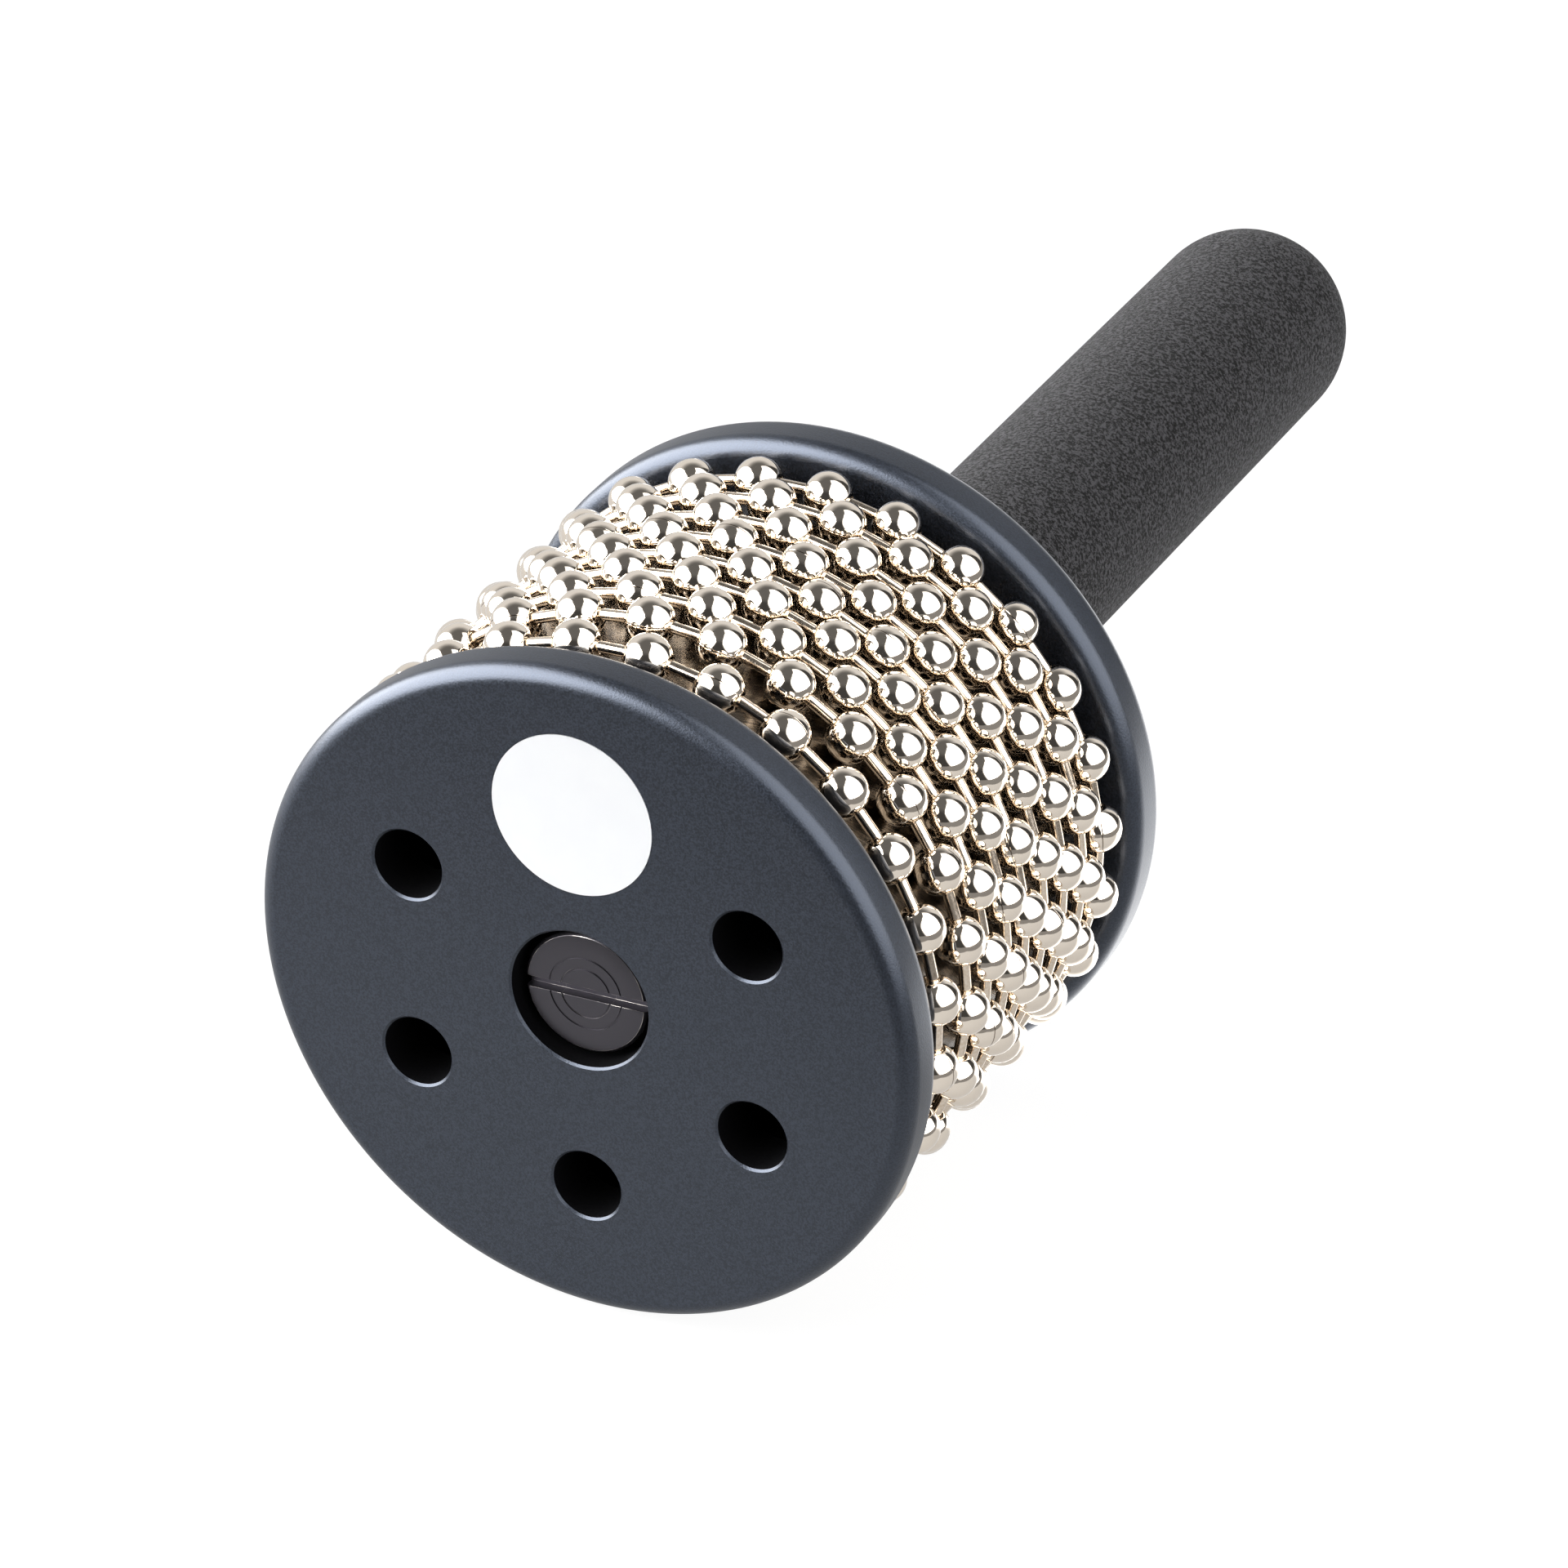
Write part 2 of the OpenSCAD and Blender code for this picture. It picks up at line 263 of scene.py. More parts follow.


# Steel turned on a lathe and blackened in hot oxide: a plum black sheen, nearly even, with
# one thin light ring painted beside a turned groove of the face, a painted highlight.
def black_oxide_steel():
    material, tree = start_material("blackened_turned_steel")
    place = add_node(tree, "ShaderNodeTexCoord").outputs["Object"]
    flat_on_axis = {"Location": (0, 0, -axis_z * MM), "Scale": (1, 0, 1)}
    centred = add_node(tree, "ShaderNodeMapping", flat_on_axis, {"Vector": place})
    radius = add_node(tree, "ShaderNodeVectorMath", {"operation": "LENGTH"}, {0: centred})
    settings = {"operation": "SUBTRACT", 1: BOLT_GROOVE_GLINT_R * MM}
    off_glint = add_node(tree, "ShaderNodeMath", settings, {0: radius.outputs["Value"]})
    off_glint = add_node(tree, "ShaderNodeMath", {"operation": "ABSOLUTE"}, {0: off_glint})
    settings = {"interpolation_type": "SMOOTHSTEP", "From Min": 0.0, "From Max": BOLT_GROOVE_GLINT_W * MM,
                "To Min": 1.0, "To Max": 0.0}
    line = add_node(tree, "ShaderNodeMapRange", settings, {"Value": off_glint})
    settings = {"Scale": 1 / (BOLT_GROOVE_GLINT_BREAKS * MM)}
    breaks = add_node(tree, "ShaderNodeTexNoise", settings, {"Vector": place})
    shown = add_node(tree, "ShaderNodeMath", {"operation": "MULTIPLY"}, {0: line, 1: breaks})
    # Painted highlight: the colour turns light grey along the ring
    stops = [(0.0, "#47454a"), (0.7, "#8e8a88")]
    colour = add_node(tree, "ShaderNodeValToRGB", {"stops": stops}, {"Fac": shown})
    settings = {"Scale": 1 / (BOLT_PATINA * MM), "Detail": 3.0}
    patina = add_node(tree, "ShaderNodeTexNoise", settings, {"Vector": place})
    rough = add_node(tree, "ShaderNodeMapRange", {"To Min": 0.26, "To Max": 0.32}, {"Value": patina})
    end_material(tree, {"Metallic": 0.8}, {"Base Color": colour, "Roughness": rough})
    return material


# The same steel on the broken edges of the head and its slot, where handling and the
# screwdriver have rubbed the black off in places: bright grey in short runs, which also
# stand in for the glints on these edges, a painted highlight.
def worn_edge_steel_with_painted_highlight():
    material, tree = start_material("rubbed_steel_edge_with_painted_highlight")
    place = add_node(tree, "ShaderNodeTexCoord").outputs["Object"]
    settings = {"Scale": 1 / (BOLT_EDGE_RUBS_AND_GLINTS * MM), "Detail": 3.0}
    rubbed = add_node(tree, "ShaderNodeTexNoise", settings, {"Vector": place})
    # Painted highlight and wear: light grey runs along the edges
    stops = [(0.44, "#4c494c"), (0.62, "#c2bcb6")]
    colour = add_node(tree, "ShaderNodeValToRGB", {"stops": stops}, {"Fac": rubbed})
    rough = add_node(tree, "ShaderNodeMapRange", {"To Min": 0.4, "To Max": 0.25}, {"Value": rubbed})
    end_material(tree, {"Metallic": 1.0}, {"Base Color": colour, "Roughness": rough})
    return material


# Stainless sheet, rolled and embossed: scratched aslant all over, so it shows dark streaks
# and thin bright lines rather than a picture of the room. Its colour is painted dark brown, a
# painted shade of the crevices between the balls, browned like their golden reflections.
# Its UV map is in millimetres.
def embossed_stainless():
    material, tree = start_material("stainless_sheet_with_painted_shade")
    flat = add_node(tree, "ShaderNodeUVMap", {"uv_map": "sheet"})
    turned = {"Rotation": (0, 0, math.radians(SCRATCH_SLANT))}
    aslant = add_node(tree, "ShaderNodeMapping", turned, {"Vector": flat})
    stretched = add_node(tree, "ShaderNodeMapping", {"Scale": ALONG_GRAIN}, {"Vector": aslant})
    settings = {"Scale": 1 / SCRATCH_SPACING, "Detail": 4.0, "Roughness": 0.7}
    scratches = add_node(tree, "ShaderNodeTexNoise", settings, {"Vector": stretched})
    # Painted shade: the steel is coloured far darker and browner than bare stainless
    stops = [(0.35, "#2c2721"), (0.65, "#6c6358")]
    colour = add_node(tree, "ShaderNodeValToRGB", {"stops": stops}, {"Fac": scratches})
    rough = add_node(tree, "ShaderNodeMapRange", {"To Min": 0.15, "To Max": 0.3}, {"Value": scratches})
    relief = {"Distance": SCRATCH_DEPTH * MM, "Strength": 0.6}
    normal = add_node(tree, "ShaderNodeBump", relief, {"Height": scratches})
    links = {"Base Color": colour, "Roughness": rough, "Normal": normal}
    end_material(tree, {"Metallic": 1.0}, links)
    return material


# Steel balls drawn from sheet and barrel-plated with bright nickel: a mirror, slightly
# warm, which turns golden where balls mirror each other. Each ball has a drawn seam.
def bright_nickel():
    material, tree = start_material("bright_nickel_plate")
    turn_and_height = add_node(tree, "ShaderNodeUVMap", {"uv_map": "ball"})
    turn = add_node(tree, "ShaderNodeSeparateXYZ", {}, {"Vector": turn_and_height})
    from_seam = add_node(tree, "ShaderNodeMath", {"operation": "PINGPONG", 1: 0.5}, {0: turn})
    settings = {"From Min": 0.0, "From Max": BALL_SEAM_SHARE_OF_TURN}
    seam = add_node(tree, "ShaderNodeMapRange", settings, {"Value": from_seam})
    stops = [(0.0, "#5c4a38"), (1.0, "#eadfd1")]
    colour = add_node(tree, "ShaderNodeValToRGB", {"stops": stops}, {"Fac": seam})
    place = add_node(tree, "ShaderNodeTexCoord").outputs["Object"]
    settings = {"Scale": 1 / (BALL_HANDLING * MM), "Detail": 3.0}
    handling = add_node(tree, "ShaderNodeTexNoise", settings, {"Vector": place})
    rough = add_node(tree, "ShaderNodeMapRange", {"To Min": 0.04, "To Max": 0.09}, {"Value": handling})
    relief = {"Distance": BALL_SEAM_DEPTH * MM, "Strength": 0.6}
    normal = add_node(tree, "ShaderNodeBump", relief, {"Height": seam})
    links = {"Base Color": colour, "Roughness": rough, "Normal": normal}
    end_material(tree, {"Metallic": 1.0}, links)
    return material


# Drawn steel rod with the same nickel plate, a little duller from drawing marks.
def nickel_rod():
    material, tree = start_material("nickel_plated_drawn_rod")
    place = add_node(tree, "ShaderNodeTexCoord").outputs["Object"]
    settings = {"Scale": 1 / (ROD_MARKS * MM), "Detail": 3.0}
    marks = add_node(tree, "ShaderNodeTexNoise", settings, {"Vector": place})
    stops = [(0.3, "#cdbda9"), (0.7, "#e0d3c4")]
    colour = add_node(tree, "ShaderNodeValToRGB", {"stops": stops}, {"Fac": marks})
    rough = add_node(tree, "ShaderNodeMapRange", {"To Min": 0.08, "To Max": 0.2}, {"Value": marks})
    relief = {"Distance": ROD_MARK_DEPTH * MM, "Strength": 0.4}
    normal = add_node(tree, "ShaderNodeBump", relief, {"Height": marks})
    links = {"Base Color": colour, "Roughness": rough, "Normal": normal}
    end_material(tree, {"Metallic": 1.0}, links)
    return material


# Closed-cell rubber foam, skived to size: dead matt charcoal. Its cut cells are about 0.4 mm
# wide, drawn here at 0.55 to 0.7 mm so that they show as light and dark grains.
def charcoal_foam():
    material, tree = start_material("charcoal_cellular_foam")
    place = add_node(tree, "ShaderNodeTexCoord").outputs["Object"]
    settings = {"Scale": 1 / (FOAM_CELL * MM)}
    cells = add_node(tree, "ShaderNodeTexVoronoi", settings, {"Vector": place})
    settings = {"Scale": 1 / (FOAM_GRAIN * MM), "Detail": 3.0, "Roughness": 0.8}
    grains = add_node(tree, "ShaderNodeTexNoise", settings, {"Vector": place})
    stops = [(0.475, "#000000"), (0.545, "#4e4d50")]
    colour = add_node(tree, "ShaderNodeValToRGB", {"stops": stops}, {"Fac": grains})
    relief = {"Distance": FOAM_CELL_DEPTH * MM, "Strength": 0.8}
    hollows = add_node(tree, "ShaderNodeBump", relief, {"Height": cells})
    relief = {"Distance": FOAM_GRAIN_DEPTH * MM, "Strength": 0.9}
    normal = add_node(tree, "ShaderNodeBump", relief, {"Height": grains, "Normal": hollows})
    settings = {"Roughness": 0.95, "Specular IOR Level": 0.1, "Sheen Weight": 0.08,
                "Sheen Roughness": 0.6}
    end_material(tree, settings, {"Base Color": colour, "Normal": normal})
    return material


# Black ABS as it leaves the mould, never polished: the drum under the sheet.
def plain_abs():
    material, tree = start_material("unpolished_black_abs")
    place = add_node(tree, "ShaderNodeTexCoord").outputs["Object"]
    grain = add_node(tree, "ShaderNodeTexNoise", {"Scale": 1 / (DRUM_GRAIN * MM)}, {"Vector": place})
    stops = [(0.3, "#1b1b1c"), (0.7, "#242425")]
    colour = add_node(tree, "ShaderNodeValToRGB", {"stops": stops}, {"Fac": grain})
    relief = {"Distance": DRUM_GRAIN_DEPTH * MM}
    normal = add_node(tree, "ShaderNodeBump", relief, {"Height": grain})
    end_material(tree, {"Roughness": 0.55}, {"Base Color": colour, "Normal": normal})
    return material


# Steamed beech, turned and left raw inside the foam: pinkish tan with short flecks.
def raw_beech():
    material, tree = start_material("turned_raw_beech")
    place = add_node(tree, "ShaderNodeTexCoord").outputs["Object"]
    grain = add_node(tree, "ShaderNodeMapping", {"Scale": ALONG_GRAIN}, {"Vector": place})
    settings = {"Scale": 1 / (BEECH_FLECK * MM), "Detail": 4.0, "Roughness": 0.6}
    flecks = add_node(tree, "ShaderNodeTexNoise", settings, {"Vector": grain})
    stops = [(0.3, "#a9794e"), (0.7, "#caa074")]
    colour = add_node(tree, "ShaderNodeValToRGB", {"stops": stops}, {"Fac": flecks})
    relief = {"Distance": BEECH_FLECK_DEPTH * MM}
    normal = add_node(tree, "ShaderNodeBump", relief, {"Height": flecks})
    end_material(tree, {"Roughness": 0.6}, {"Base Color": colour, "Normal": normal})
    return material


# Free-cutting brass, turned: yellow metal with a fine tool lay.
def turned_brass():
    material, tree = start_material("turned_brass")
    place = add_node(tree, "ShaderNodeTexCoord").outputs["Object"]
    lay = add_node(tree, "ShaderNodeTexNoise", {"Scale": 1 / (BRASS_LAY * MM)}, {"Vector": place})
    stops = [(0.3, "#b08a3c"), (0.7, "#d0aa58")]
    colour = add_node(tree, "ShaderNodeValToRGB", {"stops": stops}, {"Fac": lay})
    rough = add_node(tree, "ShaderNodeMapRange", {"To Min": 0.2, "To Max": 0.35}, {"Value": lay})
    end_material(tree, {"Metallic": 1.0}, {"Base Color": colour, "Roughness": rough})
    return material


def on_axis(distance):
    """Turns a shape drawn in millimetres about Z onto the drum's axis, with its zero at this
    distance from the front face."""
    place = Matrix.Translation((0, (front_y + distance) * MM, axis_z * MM))
    return place @ Matrix.Rotation(math.radians(-90), 4, "X") @ Matrix.Scale(MM, 4)


def at_angle(angle, radius):
    """Puts a shape at a radius and an angle, counted from the top towards +X."""
    return Matrix.Rotation(math.radians(angle), 4, "Z") @ Matrix.Translation((0, -radius, 0))


def arc(centre_r, centre_z, radius, start, end, steps):
    """Points of an arc in a half section."""
    angles = [math.radians(start + (end - start) * i / steps) for i in range(steps + 1)]
    return [(centre_r + radius * math.cos(a), centre_z + radius * math.sin(a)) for a in angles]


def revolve(bm, section, steps):
    """Spins a half section, given as (radius, height) points, a full turn about Z."""
    points = [bm.verts.new((r, 0, z)) for r, z in section]
    lines = [bm.edges.new(pair) for pair in zip(points, points[1:])]
    bmesh.ops.spin(bm, geom=points + lines, cent=(0, 0, 0), axis=(0, 0, 1), dvec=(0, 0, 0),
                   angle=math.radians(360), steps=steps, use_merge=True)
    bmesh.ops.remove_doubles(bm, verts=bm.verts, dist=SAME_PLACE)


def seal_and_turn_out(bm, crease=CREASE):
    """Merges doubles, points the faces outwards and marks which edges stay sharp."""
    bmesh.ops.remove_doubles(bm, verts=bm.verts, dist=SAME_PLACE)
    bmesh.ops.recalc_face_normals(bm, faces=bm.faces)
    for face in bm.faces:
        face.smooth = True
    for edge in bm.edges:
        if len(edge.link_faces) == 2:
            flats = [abs(face.normal.z) > FLAT_NORMAL for face in edge.link_faces]
            edge.smooth = edge.calc_face_angle() < math.radians(crease) and flats[0] == flats[1]


def add_piece(name, bm, place, body, material, stands_for):
    """Makes the object of a finished mesh, in place, and says what it rides on and stands for."""
    bm.transform(place)
    mesh = bpy.data.meshes.new(name)
    bm.to_mesh(mesh)
    bm.free()
    mesh.materials.append(material)
    piece = bpy.data.objects.new(name, mesh)
    bpy.context.scene.collection.objects.link(piece)
    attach(piece, body)
    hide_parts(*stands_for)
    return piece


def open_loops(bm, height):
    """The open edges that lie at one height."""
    edges = [edge for edge in bm.edges if edge.is_boundary]
    return [e for e in edges if all(abs(v.co.z - height) < SAME_HEIGHT for v in e.verts)]


def tube(bm, radii_heights, place, steps):
    """A run of rings, one for each radius and height, joined by walls."""
    rings = []
    for radius, height in radii_heights:
        made = bmesh.ops.create_circle(bm, radius=radius, segments=steps,
                                       matrix=place @ Matrix.Translation((0, 0, height)))
        rings.append(list({e for v in made["verts"] for e in v.link_edges}))
    for lower, upper in zip(rings, rings[1:]):
        bmesh.ops.bridge_loops(bm, edges=lower + upper)
    return rings


def disc_shell(front):
    """One end disc with its register and hub, about Z, the outer face at zero."""
    bm = bmesh.new()
    centre_d = RECESS_D if front else HANDLE_D
    centre_depth = RECESS_DEPTH if front else HANDLE_SEAT
    round_r = DISC_D / 2 - DISC_EDGE_R
    rim = arc(round_r, DISC_EDGE_R, DISC_EDGE_R, -90, 0, RIM_ARC_STEPS)
    rim += arc(round_r, DISC_T - DISC_EDGE_R, DISC_EDGE_R, 0, 90, RIM_ARC_STEPS)
    register_in = REGISTER_D / 2 - REGISTER_W
    register = [(REGISTER_D / 2, DISC_T), (REGISTER_D / 2, DISC_T + REGISTER_H),
                (register_in, DISC_T + REGISTER_H), (register_in, DISC_T)]
    revolve(bm, rim + register, FINE_STEPS)
    hub = [(HUB_D / 2, DISC_T), (HUB_D / 2, DISC_T + HUB_H), (SHANK_HOLE_D / 2, DISC_T + HUB_H),
           (SHANK_HOLE_D / 2, centre_depth), (centre_d / 2, centre_depth),
           (centre_d / 2, MOUTH_CHAMFER), (centre_d / 2 + MOUTH_CHAMFER, 0)]
    revolve(bm, hub, FINE_STEPS)
    if front:
        hole_r = FACE_HOLE_D / 2
        hole = [(hole_r + MOUTH_CHAMFER, 0), (hole_r, MOUTH_CHAMFER), (hole_r, DISC_T)]
        for i in range(1, FACE_HOLE_PLACES):
            place = at_angle(FACE_TURN + i * 360 / FACE_HOLE_PLACES, FACE_HOLE_CIRCLE_D / 2)
            tube(bm, hole, place, HOLE_STEPS)
        seat_r = LABEL_D / 2 + LABEL_SEAT_ROOM
        place = at_angle(FACE_TURN, LABEL_AT_R)
        seat = tube(bm, [(seat_r, 0), (seat_r, LABEL_T)], place, FINE_STEPS)
        bmesh.ops.triangle_fill(bm, use_beauty=True, edges=seat[1])
    for height in (0, DISC_T):
        bmesh.ops.triangle_fill(bm, use_beauty=True, edges=open_loops(bm, height))
    seal_and_turn_out(bm)
    return bm


def add_front_disc(material, walls):
    """The front disc, with a darker, duller finish on the walls of its holes and recess, a painted
    shade in them.
    """
    bm = disc_shell(True)
    for face in bm.faces:
        middle = face.calc_center_median()
        deep = MOUTH_CHAMFER + CLEARLY_INSIDE < middle.z < DISC_T - CLEARLY_INSIDE
        # Deep walls near the axis take the second material, with its painted shade
        face.material_index = int(deep and middle.xy.length < PAINTED_SHADE_WITHIN_R)
    piece = add_piece("front_disc_moulding", bm, on_axis(0), "frame", material,
                      ["front_disc"])
    piece.data.materials.append(walls)


def add_back_disc(material):
    bm = disc_shell(False)
    bm.transform(Matrix.Scale(-1, 4, (0, 0, 1)))
    bmesh.ops.reverse_faces(bm, faces=bm.faces)
    add_piece("back_disc_moulding", bm, on_axis(back_face_y - front_y), "frame", material,
              ["back_disc"])


def add_label(material):
    bm = bmesh.new()
    made = bmesh.ops.create_circle(bm, cap_ends=True, radius=LABEL_D / 2, segments=FINE_STEPS)
    face = made["verts"][0].link_faces[0]
    raised = bmesh.ops.extrude_face_region(bm, geom=[face])
    moved = [v for v in raised["geom"] if isinstance(v, bmesh.types.BMVert)]
    bmesh.ops.translate(bm, verts=moved, vec=(0, 0, LABEL_T))
    seal_and_turn_out(bm)
    add_piece("blank_vinyl_label", bm, on_axis(0) @ at_angle(FACE_TURN, LABEL_AT_R), "frame",
              material, ["blank_label"])


def unroll(bm, name, turn_length):
    """Makes a UV map of the way round Z, a full turn being turn_length, and the height."""
    layer = bm.loops.layers.uv.new(name)
    for face in bm.faces:
        middle = face.calc_center_median()
        middle_turn = math.atan2(middle.y, middle.x) / (2 * math.pi)
        for loop in face.loops:
            turn = math.atan2(loop.vert.co.y, loop.vert.co.x) / (2 * math.pi)
            turn += round(middle_turn - turn)
            loop[layer].uv = (turn * turn_length, loop.vert.co.z)


def add_sleeve(material):
    """The sheet round the drum, open along its seam at the bottom."""
    bm = bmesh.new()
    outer, inner = SLEEVE_D / 2, SLEEVE_D / 2 - SLEEVE_T
    section = [(inner, 0), (outer, 0), (outer, drum_len), (inner, drum_len)]
    half_gap = math.degrees(SLEEVE_SEAM_GAP / SLEEVE_D)
    end = bm.faces.new([bm.verts.new((0, r, z)) for r, z in section])
    bmesh.ops.spin(bm, geom=[end], cent=(0, 0, 0), axis=(0, 0, 1), dvec=(0, 0, 0),
                   angle=math.radians(360 - 2 * half_gap), steps=SHEET_STEPS)
    bm.transform(Matrix.Rotation(math.radians(half_gap), 4, "Z"))
    seal_and_turn_out(bm)
    unroll(bm, "sheet", 2 * math.pi * outer)
    add_piece("embossed_sleeve", bm, on_axis(DISC_T), "frame", material,
              ["steel_sleeve"])


def ball_section():
    """Half section of a hollow ball round its two holes, outer wall first."""
    mouth = math.degrees(math.asin(BALL_HOLE_D / BALL_D))
    outer = arc(0, 0, BALL_D / 2, -90 + mouth, 90 - mouth, BALL_ARC_STEPS)
    inner_r = BALL_D / 2 - BALL_WALL
    inner = [(BALL_HOLE_D / 2, math.sqrt(inner_r**2 - (BALL_HOLE_D / 2) ** 2))]
    return [(r, -z) for r, z in inner] + outer + inner


def loop_turn(row):
    """The angle of the first ball of a loop, read from its balls in the frame."""
    total = 0
    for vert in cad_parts[f"bead_row_{row}"].data.vertices:
        angle = math.atan2(vert.co.x, vert.co.z - axis_z * MM)
        total += complex(math.cos(BALLS_PER_LOOP * angle), math.sin(BALLS_PER_LOOP * angle))
    return math.degrees(math.atan2(total.imag, total.real)) / BALLS_PER_LOOP


def loop_distance(row):
    low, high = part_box(f"bead_row_{row}")
    return (low.y + high.y) / 2 / MM - front_y


def put_in(bm, one, place):
    """Puts one small mesh into a larger one, along with its UV map."""
    one.transform(place)
    holder = bpy.data.meshes.new("holder")
    one.to_mesh(holder)
    one.free()
    bm.from_mesh(holder)
    bpy.data.meshes.remove(holder)


def add_ball_row(row, material):
    """The balls of one loop, each turned on its own links so that its seam lies anywhere."""
    chance = random.Random(row)
    start = loop_turn(row)
    bm = bmesh.new()
    bm.loops.layers.uv.new("ball")
    for i in range(BALLS_PER_LOOP):
        one = bmesh.new()
        revolve(one, ball_section(), BALL_STEPS)
        seal_and_turn_out(one)
        for edge in one.edges:
            edge.smooth = True
        unroll(one, "ball", 1.0)
        spin = Matrix.Rotation(chance.uniform(0, 2 * math.pi), 4, "Z")
        put_in(bm, one, at_angle(start + i * LOOP_PITCH, LOOP_R) @ ALONG_LOOP @ spin)
    add_piece(f"nickel_balls_{row}", bm, on_axis(loop_distance(row)), f"loop_{row}", material,
              [f"bead_row_{row}"])


def add_link_row(row, material):
    """The links of one loop, each with a head inside the ball at either end."""
    start = loop_turn(row)
    spacing = 2 * LOOP_R * math.sin(math.radians(LOOP_PITCH / 2))
    neck = LINK_HEAD_AT - spacing / 2
    head_r, head_end = LINK_HEAD_D / 2, neck - LINK_HEAD_T
    section = [(0, head_end), (head_r, head_end), (head_r, neck), (LINK_ROD_D / 2, neck)]
    section += [(r, -z) for r, z in reversed(section)]
    bm = bmesh.new()
    for i in range(BALLS_PER_LOOP):
        one = bmesh.new()
        revolve(one, section, ROD_STEPS)
        seal_and_turn_out(one)
        put_in(bm, one, at_angle(start + (i + 0.5) * LOOP_PITCH, LINK_AT_R) @ ALONG_LOOP)
    add_piece(f"nickel_links_{row}", bm, on_axis(loop_distance(row)), f"loop_{row}", material,
              [f"link_row_{row}"])


def add_grip(material):
    """Foam tube closed by a round dome, with its bore for the wooden handle."""
    grip_r = GRIP_D / 2
    straight = grip_len - grip_r
    bore = grip_len - GRIP_END_WALL
    step = (straight - GRIP_EDGE_R) / GRIP_LENGTH_STEPS
    section = [(0, bore), (HANDLE_D / 2, bore), (HANDLE_D / 2, 0)]
    section += arc(grip_r - GRIP_EDGE_R, GRIP_EDGE_R, GRIP_EDGE_R, -90, 0, GRIP_EDGE_STEPS)
    section += [(grip_r, GRIP_EDGE_R + step * i) for i in range(1, GRIP_LENGTH_STEPS)]
    section += arc(0, straight, grip_r, 0, 90, DOME_ARC_STEPS)
    bm = bmesh.new()
    revolve(bm, section, GRIP_STEPS)
    seal_and_turn_out(bm)
    piece = add_piece("foam_handle_grip", bm, on_axis(back_face_y - front_y), "frame", material,
                      ["foam_grip"])


def in_bolt_groove(edge):
    """Tells the short edges of the grooves turned in the bolt's head from its other edges."""
    radii = [math.hypot(v.co.x, v.co.z - axis_z) for v in edge.verts]
    off = min(max(abs(r - groove) for r in radii) for groove in BOLT_GROOVE_RADII)
    return edge.calc_length() < BOLT_RING_STEP and off < BOLT_GROOVE_REACH


def add_bolt(material, edges):
    """The bolt of the frame, with its sharp edges broken, apart from those of the fine grooves."""
    bm = bmesh.new()
    bm.from_mesh(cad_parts["clamp_bolt"].data)
    bm.transform(Matrix.Scale(1 / MM, 4))
    bmesh.ops.remove_doubles(bm, verts=bm.verts, dist=SAME_PLACE)
    bmesh.ops.dissolve_limit(bm, angle_limit=BOLT_ONE_PLANE, verts=bm.verts, edges=bm.edges)
    sharp = [edge for edge in bm.edges if len(edge.link_faces) == 2
             and edge.calc_face_angle() > BOLT_SHARP and not in_bolt_groove(edge)]
    broken = bmesh.ops.bevel(bm, geom=sharp, offset=BOLT_EDGE_BREAK, segments=2, profile=0.5,
                             affect="EDGES", clamp_overlap=True, material=-1)
    # The broken edges take the light grey second material: rubbed wear and a painted highlight
    for face in broken["faces"]:
        face.material_index = 1
    bmesh.ops.triangulate(bm, faces=bm.faces)
    seal_and_turn_out(bm, BOLT_CREASE)
    piece = add_piece("slotted_clamp_bolt", bm, Matrix.Scale(MM, 4), "frame", material,
                      ["clamp_bolt"])
    piece.data.materials.append(edges)


def paint(node, material):
    """Gives a piece of the frame that stays as it is its finish."""
    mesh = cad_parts[node].data
    mesh.materials.clear()
    mesh.materials.append(material)


def view_direction(azimuth, elevation):
    """The direction from the object to a viewer at these angles."""
    a, e = math.radians(azimuth), math.radians(elevation)
    return Vector((math.sin(a) * math.cos(e), -math.cos(a) * math.cos(e), math.sin(e)))


def add_camera():
    data = bpy.data.cameras.new("camera")
    data.lens = VIEW_LENS
    data.sensor_width = VIEW_SENSOR
    data.clip_start = VIEW_NEAREST * MM
    camera = bpy.data.objects.new("camera", data)
    bpy.context.scene.collection.objects.link(camera)
    back = view_direction(VIEW_AZIMUTH, VIEW_ELEVATION)
    camera.location = (Vector(VIEW_AIM) + back * VIEW_DISTANCE) * MM
    camera.rotation_euler = (math.radians(90 - VIEW_ELEVATION), 0, math.radians(VIEW_AZIMUTH))
    bpy.context.scene.camera = camera


# The studio, as the balls mirror it: two soft boxes beside the photographer, each bright
# inside and fading to its edge, a pale backdrop behind the object, and a dark room round
# and above the photographer. Bearings run clockwise from straight away from the
# photographer, then elevations.
STUDIO_REACH = 1200.0
LIT_POINT = (0.0, -77.0, 48.0)
# A soft box is flat, but none of its corners lies farther out than its reach over this
SHALLOWEST = 0.2
RIGHT_SOFTBOX = [(147, -15), (161, 0), (172, 18), (179, 34), (179, 50), (167, 66), (146, 77),
                 (100, 80), (36, 78), (14, 72), (44, 58), (62, 40), (70, 20), (75, 0), (79, -14)]
LEFT_SOFTBOX = [(-119, -16), (-131, 4), (-144, 26), (-151, 44), (-136, 58), (-100, 62), (-72, 60),
                (-52, 46), (-42, 18), (-38, -14), (-60, -16)]
# How far the bright inside lies in from the edge, and the power of the fall towards the edge
RIGHT_SOFT_EDGE = 0.2
LEFT_SOFT_EDGE = 0.16
SOFT_EDGE_POWER = 3.0
